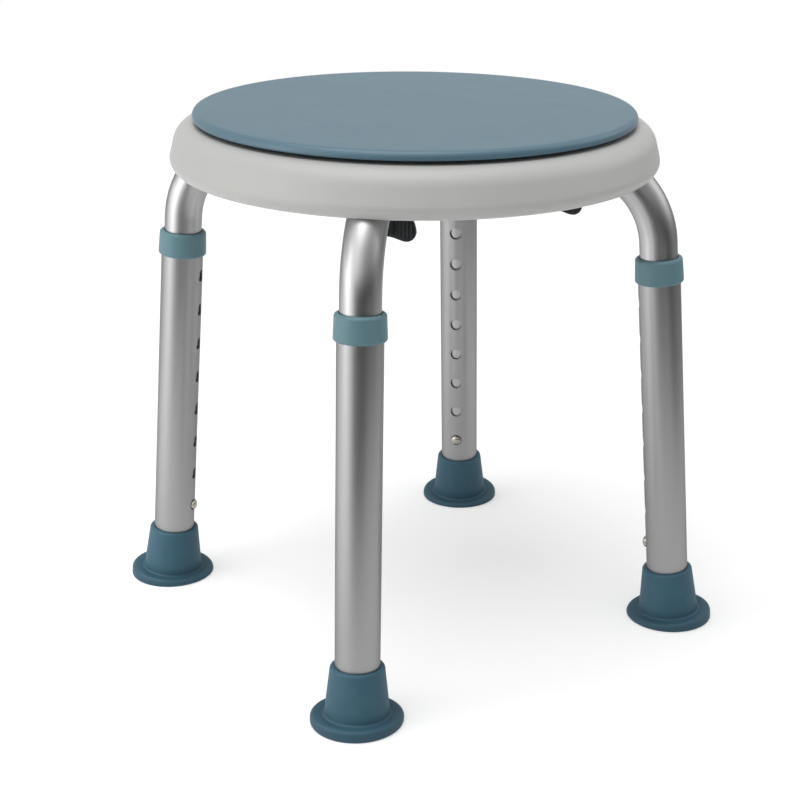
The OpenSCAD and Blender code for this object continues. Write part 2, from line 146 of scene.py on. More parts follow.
class Finish:
    """A material, built node by node."""

    def __init__(self, name, use=bpy.data.materials):
        self.material = use.new(name)
        self.material.use_nodes = True
        self.tree = self.material.node_tree
        self.tree.nodes.clear()

    def node(self, kind, settings=None, inputs=None, out=0):
        made = self.tree.nodes.new("ShaderNode" + kind)
        for key, value in (settings or {}).items():
            if key == "stops":
                self.ramp(made.color_ramp, value)
            else:
                setattr(made, key, value)
        for key, value in (inputs or {}).items():
            if isinstance(value, Wire):
                self.tree.links.new(value.socket, made.inputs[key])
            else:
                made.inputs[key].default_value = value
        return Wire(self, made.outputs[out]) if made.outputs else made

    def ramp(self, ramp, stops):
        while len(ramp.elements) < len(stops):
            ramp.elements.new(0.5)
        for element, (place, value) in zip(ramp.elements, stops):
            element.position = place
            element.color = (value, value, value, 1)

    def place(self):
        """Where on the piece, in metres."""
        return self.node("TexCoord", out="Object")

    def parts(self, vector):
        """The x, y and z of a vector, as three values."""
        split = self.node("SeparateXYZ", {}, {0: vector}).socket.node.outputs
        return [Wire(self, socket) for socket in split]

    def rays(self, *kinds):
        """1 for these kinds of ray, 0 for the others."""
        path = self.node("LightPath").socket.node.outputs
        return sum((Wire(self, path[f"Is {kind} Ray"]) for kind in kinds), 0).held()

    def along(self, scale=(1, 1, 1)):
        """Where on a drawn tube, as if it were straight: x runs along it."""
        spot = self.node("Attribute", {"attribute_name": "drawn"}, out=1)
        return self.node("Mapping", {}, {"Vector": spot, "Scale": scale})

    def noise(self, where, scale, detail=2.0, rough=0.5):
        return self.node(
            "TexNoise", {}, {"Vector": where, "Scale": scale, "Detail": detail, "Roughness": rough}
        )

    def blend(self, mask, a, b):
        """Colour a where the mask is 0, colour b where it is 1."""
        a, b = [c if isinstance(c, Wire) else (*c, 1) for c in (a, b)]
        return self.node("Mix", {"data_type": "RGBA"}, {0: mask, 6: a, 7: b}, out=2)

    def bump(self, height, distance, under=None):
        inputs = {"Height": height, "Distance": distance, "Strength": 1.0}
        if under:
            inputs["Normal"] = under
        return self.node("Bump", {}, inputs)

    def surface(self, **inputs):
        shader = self.node("BsdfPrincipled", {}, {k.replace("_", " "): v for k, v in inputs.items()})
        self.node("OutputMaterial", {}, {"Surface": shader})
        return self.material


def moulded_plastic(name, colour, shade, rough, grain, grain_depth, sheen_level=0.5):
    """Moulded plastic: two near tones drift over it, with a fine spark-eroded grain."""
    f = Finish(name)
    where = f.place()
    drift = f.noise(where, 14.0, 3.0, 0.55)
    fleck = f.noise(where, 900.0, 2.0, 0.6)
    tone = (drift.step(0.25, 0.75) * 0.7 + fleck * 0.3).held()
    pits = f.noise(where, grain, 2.0, 0.6)
    waves = f.noise(where, 22.0, 1.0, 0.4)
    normal = f.bump(waves, 0.00006, f.bump(pits, grain_depth))
    return f.surface(
        Base_Color=f.blend(tone, shade, colour),
        Roughness=rough - 0.03 + f.noise(where, 60.0) * 0.06,
        Specular_IOR_Level=sheen_level,
        Normal=normal,
    )


def drawn_aluminium(name, colour, rough):
    """Drawn and satin anodised aluminium: faint draw lines along the tube under an even etch."""
    f = Finish(name)
    lines = f.noise(f.along((3, 1, 1)), 520.0, 3.0, 0.65)
    etch = f.noise(f.place(), 1900.0, 2.0, 0.6)
    cloud = f.noise(f.along((0.5, 1, 1)), 24.0, 3.0, 0.6)
    tone = (cloud.step(0.25, 0.75) * 0.6 + lines * 0.4).held()
    dark = tuple(0.93 * c for c in colour)
    normal = f.bump(lines, 0.000012, f.bump(etch, 0.000012))
    return f.surface(
        Base_Color=f.blend(tone, dark, colour),
        Metallic=1.0,
        Specular_Tint=(0.5, 0.5, 0.5, 1),
        Roughness=rough - 0.04 + cloud * 0.08,
        Normal=normal,
    )


def plated_steel(name, colour, rough):
    """Plated steel, with fine handling marks in the shine."""
    f = Finish(name)
    where = f.place()
    marks = f.noise(where, 700.0, 4.0, 0.7)
    cloud = f.noise(where, 90.0, 2.0, 0.5)
    dark = tuple(0.82 * c for c in colour)
    return f.surface(
        Base_Color=f.blend(cloud.step(0.3, 0.7), dark, colour),
        Metallic=1.0,
        Roughness=rough - 0.06 + marks * 0.14,
        Normal=f.bump(marks, 0.00001),
    )


def soft_rubber(name, colour, shade, rough):
    """Moulded rubber: matt, slightly mottled, and darkened near its sole by painted shade."""
    f = Finish(name)
    where = f.place()
    mottle = f.noise(where, 55.0, 4.0, 0.6)
    dust = f.noise(where, 420.0, 3.0, 0.7)
    tone = (mottle.step(0.3, 0.72) * 0.75 + dust * 0.25).held()
    skin = f.noise(where, 1500.0, 2.0, 0.6)
    height = f.parts(where)[2]
    # painted shade: below 4 mm from the floor the rubber takes 0.8 of its second tone, fading out by 12 mm
    painted_sole_shade = tuple(0.8 * c for c in shade)
    return f.surface(
        Base_Color=f.blend(height.step(0.004, 0.012), painted_sole_shade, f.blend(tone, shade, colour)),
        Roughness=rough - 0.06 + mottle * 0.12,
        Specular_IOR_Level=0.4,
        Normal=f.bump(skin, 0.00003, f.bump(mottle, 0.0001)),
    )


# Name, colour, second tone (plastics and rubber), roughness, and a plastic's grain: its scale and depth
WHITE = moulded_plastic("white_plastic", (0.585, 0.585, 0.568), (0.56, 0.558, 0.541), 0.42, 650.0, 0.00003)
TEAL = moulded_plastic("teal_plastic", (0.103, 0.202, 0.262), (0.092, 0.186, 0.246), 0.36, 800.0, 0.00004)
CUFF = moulded_plastic("teal_collar", (0.126, 0.243, 0.282), (0.116, 0.228, 0.266), 0.5, 900.0, 0.00003)
RUBBER = soft_rubber("teal_rubber", (0.041, 0.116, 0.163), (0.032, 0.097, 0.141), 0.6)
ALU = drawn_aluminium("anodised_tube", (0.335, 0.335, 0.338), 0.37)
ALU_BEND = drawn_aluminium("anodised_bend", (0.43, 0.43, 0.435), 0.34)
STEEL = plated_steel("plated_steel", (0.42, 0.39, 0.35), 0.22)
ZINC = plated_steel("zinc_steel", (0.55, 0.56, 0.57), 0.35)
BRASS = plated_steel("turned_brass", (0.62, 0.45, 0.19), 0.3)
BLACK = moulded_plastic(
    "black_plastic", (0.016, 0.021, 0.021), (0.011, 0.015, 0.015), 0.5, 1400.0, 0.00004, sheen_level=0.25,
)
IVORY = moulded_plastic("acetal", (0.66, 0.63, 0.55), (0.62, 0.59, 0.51), 0.4, 900.0, 0.00002)


# ---------------------------------------------------------------- shapes

def leg_frame(name):
    """From the leg's own axes (Z up the tube, X outwards) to the stool's."""
    turn = Matrix.Rotation(math.radians(LEGS[name]), 4, "Z")
    return turn @ Matrix.Translation((FOOT_REACH, 0, 0)) @ Matrix.Rotation(-SPLAY, 4, "Y")


def arm_frame(name):
    """From the arm's own axes (Z up, X outwards) to the stool's."""
    return Matrix.Rotation(math.radians(LEGS[name]), 4, "Z")


def shown(name, data):
    """A new object in the scene."""
    made = bpy.data.objects.new(name, data)
    bpy.context.scene.collection.objects.link(made)
    return made


def closed_mesh(name, verts, faces):
    """A mesh whose double corners are joined and whose faces look outwards."""
    mesh = bpy.data.meshes.new(name)
    mesh.from_pydata(verts, [], faces)
    bm = bmesh.new()
    bm.from_mesh(mesh)
    bmesh.ops.remove_doubles(bm, verts=bm.verts, dist=1e-7)
    bmesh.ops.recalc_face_normals(bm, faces=bm.faces)
    bm.to_mesh(mesh)
    bm.free()
    return mesh


def piece(name, verts, faces, finish, body, slot, nodes, sharp=40, place=Matrix.Identity(4)):
    """A closed mesh that rides on a body and stands for the CAD nodes given."""
    mesh = closed_mesh(name, [place @ Vector(v) for v in verts], faces)
    mesh.polygons.foreach_set("use_smooth", [True] * len(mesh.polygons))
    mesh.set_sharp_from_angle(angle=math.radians(sharp))
    mesh.materials.append(finish)
    made = shown(name, mesh)
    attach(made, body)
    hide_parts(*nodes)
    return made


def even_shading(made):
    """Flat faces keep flat shading beside small rounded edges."""
    weights = made.modifiers.new("weighted", "WEIGHTED_NORMAL")
    weights.keep_sharp = True
    weights.weight = 100


def rounded(corners, steps=7):
    """A section through corners (x, z, radius), in millimetres, with each corner rounded."""
    out = []
    n = len(corners)
    for i, (x, z, r) in enumerate(corners):
        here = Vector((x, z))
        if r == 0:
            out.append(here)
            continue
        to_last = (Vector(corners[i - 1][:2]) - here).normalized()
        to_next = (Vector(corners[(i + 1) % n][:2]) - here).normalized()
        half = to_last.angle(to_next) / 2
        middle = here + (to_last + to_next).normalized() * (r / math.sin(half))
        start = here + to_last * (r / math.tan(half)) - middle
        end = here + to_next * (r / math.tan(half)) - middle
        turn = math.atan2(start.x * end.y - start.y * end.x, start.dot(end))
        for k in range(steps + 1):
            a = turn * k / steps
            spun = Vector((
                start.x * math.cos(a) - start.y * math.sin(a),
                start.x * math.sin(a) + start.y * math.cos(a),
            ))
            out.append(middle + spun)
    return [(p.x * MM, p.y * MM) for p in out]


def lathe(section, turns=96, centre=(0, 0, 0)):
    """A closed section (radius, height) turned about the Z axis through centre."""
    verts, faces = [], []
    n = len(section)
    for k in range(turns):
        a = 2 * math.pi * k / turns
        for r, z in section:
            verts.append((centre[0] + r * math.cos(a), centre[1] + r * math.sin(a), centre[2] + z))
    for k in range(turns):
        for i in range(n):
            j = (i + 1) % n
            a, b = k * n, (k + 1) % turns * n
            faces.append((a + i, b + i, b + j, a + j))
    return verts, faces


def cap_free(faces, verts):
    """Drops faces that have shrunk to a line on the axis, and joins their corners."""
    out = []
    for face in faces:
        corners = []
        for v in face:
            if not any((Vector(verts[v]) - Vector(verts[w])).length < 1e-8 for w in corners):
                corners.append(v)
        if len(corners) > 2:
            out.append(tuple(corners))
    return out


def solid_lathe(section, turns=96, centre=(0, 0, 0)):
    """A section that starts and ends on the axis."""
    verts, faces = lathe(section, turns, centre)
    n = len(section)
    faces = [f for k, f in enumerate(faces) if k % n != n - 1]
    return verts, cap_free(faces, verts)


# ---------------------------------------------------------------- seat

def edge_line(c1, r1, c2, r2):
    """Where a straight side touches two round corners, as two points."""
    d = c1 - c2
    a = math.atan2(d.y, d.x) - math.acos((r2 - r1) / d.length)
    way = Vector((math.cos(a), math.sin(a)))
    return c2 + r2 * way, c1 + r1 * way, a


def rim_section():
    """The base's section: core, flat underside, drafted side, rounded top and the bearing's recess."""
    c1 = Vector((RIM_R - RIM_DRAFT - RIM_TOP_R, BASE_TOP - RIM_TOP_R))
    c2 = Vector((RIM_R - RIM_LOW_R, BASE_BOTTOM + RIM_LOW_R))
    low, high, a = edge_line(c1, RIM_TOP_R, c2, RIM_LOW_R)
    points = [(r, BASE_BOTTOM) for r in (BUSH_R, 26, 60, 100, 140)]
    for k in range(13):
        t = -math.pi / 2 + (a + math.pi / 2) * k / 12
        points.append((c2.x + RIM_LOW_R * math.cos(t), c2.y + RIM_LOW_R * math.sin(t)))
    for k in range(1, 5):
        p = low.lerp(high, k / 5)
        points.append((p.x, p.y))
    for k in range(19):
        t = a + (math.pi / 2 - a) * k / 18
        points.append((c1.x + RIM_TOP_R * math.cos(t), c1.y + RIM_TOP_R * math.sin(t)))
    points += [(r, BASE_TOP) for r in (144, 120, 80, 69)]
    points += [(RECESS_R, BASE_TOP - 0.5), (RECESS_R, RECESS_FLOOR), (BUSH_R, RECESS_FLOOR)]
    return [(r * MM, z * MM) for r, z in points]


def channel_cutter():
    """Four open-bottomed spaces for the arms, round at their roofs."""
    verts, faces = [], []
    r, depth, start = UPPER_R + 0.3 * MM, 30 * MM, 24.2 * MM
    for name in LEGS:
        turn = arm_frame(name)
        stations = [(Vector((start, 0, ARM_Z)), Vector((0, 0, 1)))]
        for k in range(25):
            a = (BEND_TURN - 0.25) * k / 24
            out = Vector((math.sin(a), 0, math.cos(a)))
            stations.append((Vector((BEND_START, 0, ARM_Z - BEND_R)) + BEND_R * out, out))
        first = len(verts)
        half = 20
        for centre, out in stations:
            ring = [centre - depth * out - Vector((0, r, 0))]
            for k in range(half + 1):
                b = math.pi * k / half
                ring.append(centre - r * math.cos(b) * Vector((0, 1, 0)) + r * math.sin(b) * out)
            ring.append(centre - depth * out + Vector((0, r, 0)))
            verts += [turn @ v for v in ring]
        n = half + 3
        for k in range(len(stations) - 1):
            for i in range(n):
                j = (i + 1) % n
                a, b = first + k * n, first + (k + 1) * n
                faces.append((a + i, a + j, b + j, b + i))
        faces.append(tuple(range(first, first + n)))
        last = first + (len(stations) - 1) * n
        faces.append(tuple(reversed(range(last, last + n))))
    return verts, faces


def make_base():
    """The white moulding, with the arms' channels cut out of its underside."""
    base = piece(
        "seat_base_moulding", *lathe(rim_section(), 256), WHITE, "stool_frame", "white_plastic",
        ["seat_base"], 30,
    )
    cutter = shown("channels", closed_mesh("channels", *channel_cutter()))
    cut = base.modifiers.new("channels", "BOOLEAN")
    cut.object = cutter
    cut.solver = "EXACT"
    bpy.context.view_layer.update()
    bpy.context.view_layer.objects.active = base
    base.select_set(True)
    bpy.ops.object.modifier_apply(modifier=cut.name)
    base.select_set(False)
    bpy.data.objects.remove(cutter)
    base.data.set_sharp_from_angle(angle=math.radians(32))


def make_disc():
    """The turning disc, with its hanging lip, its ribs and its spigot."""
    section = rounded([
        (0, DISC_TOP, 0), (DISC_R, DISC_TOP, 3.6), (DISC_R, DISC_LOW, 1.3), (LIP_R, DISC_LOW, 0.4),
        (LIP_R, DISC_UNDER, 0.8), (SPIGOT_R, DISC_UNDER, 0.5), (SPIGOT_R, SPIGOT_END, 0.3),
        (SPIGOT_BORE, SPIGOT_END, 0), (SPIGOT_BORE, SPIGOT_ROOF, 0), (0, SPIGOT_ROOF, 0),
    ], 8)
    for r in (140, 110, 70, 30):
        section.insert(1, (r * MM, DISC_TOP * MM))
    section = [section[0]] + sorted(section[1:5]) + section[5:]
    verts, faces = solid_lathe(section, 256)
    for k in range(DISC_RIBS):
        a = 2 * math.pi * (k + 0.5) / DISC_RIBS
        along = Vector((math.cos(a), math.sin(a), 0))
        across = Vector((-math.sin(a), math.cos(a), 0)) * MM
        first = len(verts)
        for r in (RECESS_R + 0.5, LIP_R + 1):
            for side in (-1, 1):
                for z in (DISC_LOW + 0.2, DISC_UNDER + 0.5):
                    verts.append(tuple(along * r * MM + across * side + Vector((0, 0, z * MM))))
        for f in ((0, 1, 3, 2), (4, 6, 7, 5), (0, 4, 5, 1), (2, 3, 7, 6), (0, 2, 6, 4), (1, 5, 7, 3)):
            faces.append(tuple(first + i for i in f))
    disc = piece("seat_disc", verts, faces, TEAL, "swivel_seat", "teal_plastic", ["swivel_disc"], 35)
    even_shading(disc)


# ---------------------------------------------------------------- tubes

def bent_line(s):
    """The upper tube's centre line, s along it from the arm's inner end: a point and the way outwards."""
    arm = BEND_START - ARM_START
    if s <= arm:
        return Vector((ARM_START + s, 0, ARM_Z)), Vector((0, 0, 1))
    s -= arm
    a = min(s / BEND_R, BEND_TURN)
    out = Vector((math.sin(a), 0, math.cos(a)))
    point = Vector((BEND_START, 0, ARM_Z - BEND_R)) + BEND_R * out
    rest = s - BEND_R * BEND_TURN
    if rest > 0:
        point += rest * Vector((math.cos(a), 0, -math.sin(a)))
    return point, out


def straight_line(s):
    """The lower tube's centre line in the leg's own axes, s up from the floor."""
    return Vector((0, 0, s)), Vector((1, 0, 0))


class Tube:
    """A drawn tube with round holes in it, as one even mesh. Holes are (place along, turn round) pairs.

    Each hole sits in a square patch of the skin, PATCH rows along and round, whose corners run in to it.
    """

    TURNS = 72
    PATCH = 16
    PATCH_SIZE = 15 * MM
    ROW_STEP = 3.2 * MM
    ROW_ROOM = 1.5 * MM
    END_ROUND = 0.35 * MM
    HOLE_ROUND = 0.22 * MM

    def __init__(self, line, start, end, outer, bore, holes):
        self.line, self.outer, self.bore = line, outer, bore
        self.verts, self.drawn, self.faces = [], [], []
        half = self.PATCH_SIZE / 2
        edge = self.END_ROUND
        marks = set()
        for s, _ in holes:
            marks |= {round(s - half + self.PATCH_SIZE * k / self.PATCH, 7) for k in range(self.PATCH + 1)}
        fill = start
        while fill < end:
            if not any(abs(fill - s) <= half + self.ROW_ROOM for s, _ in holes):
                marks.add(round(fill, 7))
            fill += self.ROW_STEP
        marks = sorted(m for m in marks if start + 1.2 * edge < m < end - 1.2 * edge)
        self.rows = [start + edge] + marks + [end - edge]
        self.skip = set()
        patches = []
        for s, turn in holes:
            k0 = min(range(len(self.rows)), key=lambda k: abs(self.rows[k] - (s - half)))
            j0 = round(turn / (2 * math.pi) * self.TURNS) - self.PATCH // 2
            patches.append((s, turn, k0, j0))
            for k in range(k0, k0 + self.PATCH):
                for j in range(j0, j0 + self.PATCH):
                    self.skip.add((k, j % self.TURNS))
        outside = self.skin(outer)
        inside = self.skin(bore)
        for patch in patches:
            self.hole(patch, outside, inside)
        self.end(outside[0], inside[0], start, edge)
        self.end(outside[-1], inside[-1], end, -edge)

    def add(self, s, turn, radius):
        point, out = self.line(s)
        c, d = math.cos(turn), math.sin(turn)
        self.verts.append(tuple(point + radius * (c * out + d * Vector((0, 1, 0)))))
        self.drawn.append((s, radius * c, radius * d))
        return len(self.verts) - 1

    def ring(self, s, radius):
        return [self.add(s, 2 * math.pi * j / self.TURNS, radius) for j in range(self.TURNS)]

    def skin(self, radius):
        """One wall of the tube, without the patches."""
        grid = [self.ring(s, radius) for s in self.rows]
        for k in range(len(grid) - 1):
            for j in range(self.TURNS):
                if (k, j) not in self.skip:
                    i = (j + 1) % self.TURNS
                    self.faces.append((grid[k][j], grid[k][i], grid[k + 1][i], grid[k + 1][j]))
        return grid

    def join(self, loops):
        """Faces between each loop of corners and the next."""
        for a, b in zip(loops, loops[1:]):
            n = len(a)
            for i in range(n):
                j = (i + 1) % n
                self.faces.append((a[i], a[j], b[j], b[i]))

    def hole(self, patch, outside, inside):
        """A hole with softened edges, from the outer skin's patch through to the inner skin's."""
        s0, turn, k0, j0 = patch
        m = self.PATCH
        walk = [(0, j) for j in range(m)] + [(k, m) for k in range(m)]
        walk += [(m, m - j) for j in range(m)] + [(m - k, 0) for k in range(m)]
        spots = []
        for k, j in walk:
            up = self.rows[k0 + k] - s0
            beside = (j0 + j) * 2 * math.pi / self.TURNS - turn
            spots.append((up, beside, math.atan2(up, beside * self.outer)))

        def loop(radius, hole_r, ease):
            """The patch's border drawn in to the hole: ease is 1 at the border and 0 at the hole."""
            made = []
            for up, beside, a in spots:
                z = hole_r * math.sin(a)
                on = math.asin(hole_r * math.cos(a) / radius)
                made.append(self.add(
                    s0 + z + (up - z) * ease, turn + on + (beside - on) * ease, radius
                ))
            return made

        soft = self.HOLE_ROUND
        third = 0.3 * soft
        loops = [[outside[k0 + k][(j0 + j) % self.TURNS] for k, j in walk]]
        loops += [loop(self.outer, HOLE_R + soft, ease) for ease in (0.55, 0.2, 0.0)]
        loops.append(loop(self.outer - third, HOLE_R + third, 0))
        loops.append(loop(self.outer - soft, HOLE_R, 0))
        loops.append(loop(self.bore + soft, HOLE_R, 0))
        loops.append(loop(self.bore + third, HOLE_R + third, 0))
        loops += [loop(self.bore, HOLE_R + soft, ease) for ease in (0.0, 0.2, 0.55)]
        loops.append([inside[k0 + k][(j0 + j) % self.TURNS] for k, j in walk])
        self.join(loops)

    def end(self, outside, inside, s, edge):
        """The tube's rounded end at s."""
        soft = abs(edge)
        rings = [
            self.ring(s + back * edge, radius) for radius, back in (
                (self.outer - 0.3 * soft, 0.3), (self.outer - soft, 0),
                (self.bore + soft, 0), (self.bore + 0.3 * soft, 0.3),
            )
        ]
        self.join([outside, *rings, inside])

    def make(self, name, finish, body, nodes, place):
        made = piece(name, self.verts, self.faces, finish, body, "tube_metal", nodes, 50, place)
        lay = made.data.attributes.new("drawn", "FLOAT_VECTOR", "POINT")
        for value, spot in zip(lay.data, self.drawn):
            value.vector = spot
        return made


def make_tubes(leg):
    arm = BEND_START - ARM_START
    length = arm + BEND_R * BEND_TURN + BEND_END - TUBE_TAIL
    lock = length - (FIRST_HOLE - TUBE_TAIL)
    screw = SCREW_REACH - ARM_START
    holes = [(screw, 0), (screw, math.pi), (lock, math.pi)]
    upper = Tube(bent_line, 0, length, UPPER_R, UPPER_R - WALL, holes)
    upper.make(leg + "_bent_tube", ALU_BEND, "stool_frame", [leg + "_upper_tube"], arm_frame(leg))
    holes = [(FIRST_HOLE + HOLE_PITCH * k, math.pi) for k in range(HOLE_COUNT)]
    lower = Tube(straight_line, LOWER_FOOT, LOWER_TOP, LOWER_R, LOWER_BORE, holes)
    lower.make(leg + "_leg_tube", ALU, leg + "_leg", [leg + "_lower_tube"], leg_frame(leg))


# ---------------------------------------------------------------- leg fittings

def make_collar(leg):
    """Collar: a slightly tapered sleeve with a lip over the lower tube's end."""
    section = rounded([
        (16.4, 245.3, 1.6), (15.8, 262.3, 2.2), (13.05, 262.3, 0.4), (13.05, 260.05, 0.2),
        (14.36, 260.05, 0), (14.36, 245.3, 0.4),
    ], 8)
    made = piece(
        leg + "_cuff", *lathe(section, 96), CUFF, leg + "_leg", "teal_plastic",
        [leg + "_collar"], 50, leg_frame(leg),
    )
    even_shading(made)


def sole_column(place, back, way):
    """One line of the foot's underside, from its edge to its middle, in the leg's own axes."""
    side = place @ (way * FLANGE_R * MM)
    down = (place @ (way * FLANGE_R * MM - Vector((0, 0, MM)))) - side
    soft = SOLE_EDGE * MM
    foot_point = side + down * ((side.z - soft) / -down.z)
    middle = foot_point - (place.to_3x3() @ way).normalized() * soft
    column = []
    flat = foot_point - middle
    flat.z = 0
    for j in range(7):
        b = math.pi / 2 * j / 6
        p = middle + flat.normalized() * soft * math.cos(b)
        p.z = soft - soft * math.sin(b)
        column.append(back @ p)
    centre = place @ Vector((0, 0, 0))
    heading = foot_point - centre
    heading.z = 0
    heading.normalize()
    tread = [(26.2, 0)]
    for r in (25.9, 19.9, 13.9):
        tread += [(r, 0.9), (r - 0.2, 1), (r - 2.2, 1), (r - 2.5, 0.9), (r - 2.8, 0), (r - 5.7, 0)]
    tread[-1] = (0, 0)
    column += [back @ (centre + heading * r * MM + Vector((0, 0, z * MM))) for r, z in tread]
    return column


def make_foot(leg):
    """Cup and flange lean with the leg; the underside is level, with three sunk grip rings."""
    turns = 128
    place = leg_frame(leg)
    back = place.inverted()
    upper = rounded([
        (FLANGE_R, -4, 0), (FLANGE_R, 5.5, 2.6), (24.6, 5.2, 3), (20.9, 4.5, 1.7), (17.2, 37.2, 1.9),
        (14.36, 37.2, 0.35), (14.36, 24, 0),
    ], 9)[1:]
    verts, faces = [], []
    for k in range(turns):
        a = 2 * math.pi * k / turns
        way = Vector((math.cos(a), math.sin(a), 0))
        column = [way * r + Vector((0, 0, z)) for r, z in reversed(upper)]
        column += sole_column(place, back, way)
        verts += [tuple(v) for v in column]
    rings = len(verts) // turns
    for k in range(turns):
        a, b = k * rings, (k + 1) % turns * rings
        for i in range(rings - 1):
            faces.append((a + i, b + i, b + i + 1, a + i + 1))
    faces = cap_free(faces, verts)
    faces.append(tuple(k * rings for k in reversed(range(turns))))
    made = piece(
        leg + "_rubber_foot", verts, faces, RUBBER, leg + "_leg", "teal_rubber",
        [leg + "_foot"], 50, place,
    )
    even_shading(made)


def make_button(leg):
    """Pressed steel button: a dome on a short drum, with its keeper flange inside."""
    dome_r = (BUTTON_R ** 2 + DOME_H ** 2) / (2 * DOME_H)
    section = [(0, 9.5), (4.6, 9.5), (4.8, 9.7), (4.8, 10.1), (4.6, 10.3), (BUTTON_R, 10.3)]
    section.append((BUTTON_R, 14.9))
    for k in range(1, 13):
        a = math.asin(BUTTON_R / dome_r) * (1 - k / 12)
        section.append((dome_r * math.sin(a), BUTTON_TIP - dome_r + dome_r * math.cos(a)))
    section = [(r * MM, z * MM) for r, z in section]
    place = leg_frame(leg) @ Matrix.Translation((0, 0, FIRST_HOLE)) @ Matrix.Rotation(-math.pi / 2, 4, "Y")
    made = piece(
        leg + "_lock_button", *solid_lathe(section, 48), STEEL, leg + "_button", "steel",
        [leg + "_snap_button"], 60, place,
    )
    even_shading(made)


def make_spring(leg):
    """Bent spring strip: a copy of the CAD part in plated steel, riding on the frame; it does not move
    with the button.
    """
    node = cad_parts[leg + "_snap_spring"]
    made = shown(leg + "_spring_strip", node.data.copy())
    made.matrix_world = node.matrix_world.copy()
    made.material_slots[0].material = STEEL
    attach(made, "stool_frame")
    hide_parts(leg + "_snap_spring")
    outwards = leg_frame(leg).to_3x3() @ Vector((1, 0, 0))
    corners = sorted((made.matrix_world @ v.co for v in made.data.vertices), key=outwards.dot)
    depth = outwards.dot(corners[-1] - corners[0])
    1 - BUTTON_TRAVEL / depth
    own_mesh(made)


# ---------------------------------------------------------------- hand screws

def wing_edge(x):
    """Top and bottom heights of a wing at x from the hub's axis, in millimetres from the knob's top."""
    end_x = WING_REACH - WING_END_R
    top = -2 - max(0, x - 7) * 0.62 - max(0, x - 11) * 0.55
    low = -21.5 - 3.0 * math.exp(-((x - end_x) / 7.5) ** 2)
    if x > end_x:
        cap = math.sqrt(max(WING_END_R ** 2 - (x - end_x) ** 2, 0))
        low = max(low, WING_END_Z - cap)
        if x > 16.8:
            top = min(top, WING_END_Z + cap + 1.5 * (WING_REACH - x))
    return top, low


def make_knob(leg):
    """Wing knob: two round-ended wings with upright grip ribs, on a fluted hub."""
    verts, faces = [], []
    across, n = 30, 32
    for side in (1, -1):
        first = len(verts)
        for i in range(across + 1):
            t = math.sin(math.pi / 2 * i / across)
            x = WING_REACH * t
            top, low = wing_edge(x)
            groove = 0.5 - 0.5 * math.cos(2 * math.pi * x / RIB_PITCH)
            for j in range(n):
                a = 2 * math.pi * j / n
                c, s = math.cos(a), math.sin(a)
                shape = math.copysign(abs(c) ** 0.45, c)
                z = (top + low) / 2 + (top - low) / 2 * shape
                thick = WING_HALF_T * abs(s) ** 0.45 * (1 - max(0.0, (t - 0.93) / 0.07) ** 2 * 0.55)
                thick *= 1 - 0.16 * groove * min(1, abs(s) * 1.5)
                verts.append((side * x * MM, math.copysign(thick, s) * MM, z * MM))
        for i in range(across):
            for j in range(n):
                a, b = first + i * n, first + (i + 1) * n
                k = (j + 1) % n
                faces.append((a + j, b + j, b + k, a + k))
        faces.append(tuple(first + j for j in range(n)))
        faces.append(tuple(first + across * n + j for j in reversed(range(n))))
    hub = rounded([(0, 0, 0), (7.5, 0, 0.8), (6.4, -20.6, 1.2), (0, -21.2, 0)], 6)
    first = len(verts)
    turns = 96
    hub_verts, hub_faces = solid_lathe(hub, turns)
    n = len(hub)
    for k, v in enumerate(hub_verts):
        a = 2 * math.pi * (k // n) / turns
        z = v[2] / MM
        flute = 1 - 0.025 * (1 + math.cos(FLUTES * a)) * (-19.5 < z < -1)
        verts.append((v[0] * flute, v[1] * flute, v[2]))
    faces += [tuple(first + i for i in f) for f in hub_faces]
    place = arm_frame(leg) @ Matrix.Translation((SCREW_REACH, 0, KNOB_TOP * MM))
    place @= Matrix.Rotation(math.radians(KNOB_TURNS[leg]), 4, "Z")
    piece(
        leg + "_wing_knob", verts, faces, BLACK, leg + "_hand_screw", "black_plastic",
        [leg + "_hand_knob"], 60, place,
    )


def make_washer(leg):
    """Clamp washer with rounded edges."""
    section = rounded([
        (9.5, WASHER_LOW, 0.3), (9.5, WASHER_TOP, 0.3), (3.4, WASHER_TOP, 0.2), (3.4, WASHER_LOW, 0.2),
    ], 3)
    place = arm_frame(leg) @ Matrix.Translation((SCREW_REACH, 0, 0))
    made = piece(
        leg + "_clamp_ring", *lathe(section, 64), ZINC, leg + "_clamp_washer", "steel",
        [leg + "_saddle_washer"], 40, place,
    )
    even_shading(made)


def make_pivot_bolt():
    """Hexagon bolt with a chamfered head and a washer face."""
    verts, faces = [], []
    top, head = BOLT_FACE, BOLT_HEAD
    chamfer_r = HALF_FLATS - 0.15
    turns = 96
    for k in range(turns):
        a = 2 * math.pi * k / turns
        nearest = (a + math.pi / 6) % (math.pi / 3) - math.pi / 6
        side = HALF_FLATS / math.cos(nearest)
        column = [(0, head), (5.4, head), (6.2, head), (chamfer_r, head + 0.05)]
        column += [(side, head + (side - chamfer_r) * 0.58 + 0.05), (side, top - 0.3), (side - 0.2, top)]
        column += [(4, top), (4, BOLT_TIP - 0.6), (3.4, BOLT_TIP), (0, BOLT_TIP)]
        for r, z in column:
            verts.append((r * MM * math.cos(a), r * MM * math.sin(a), z * MM))
    n = len(verts) // turns
    for k in range(turns):
        a, b = k * n, (k + 1) % turns * n
        for i in range(n - 1):
            faces.append((a + i, b + i, b + i + 1, a + i + 1))
    piece(
        "pivot_hex_bolt", verts, cap_free(faces, verts), ZINC, "swivel_seat", "steel",
        ["pivot_bolt"], 30,
    )


make_base()
make_disc()
make_pivot_bolt()
for leg in LEGS:
    make_tubes(leg)
    make_collar(leg)
    make_foot(leg)
    make_button(leg)
    make_spring(leg)
    make_knob(leg)
    make_washer(leg)

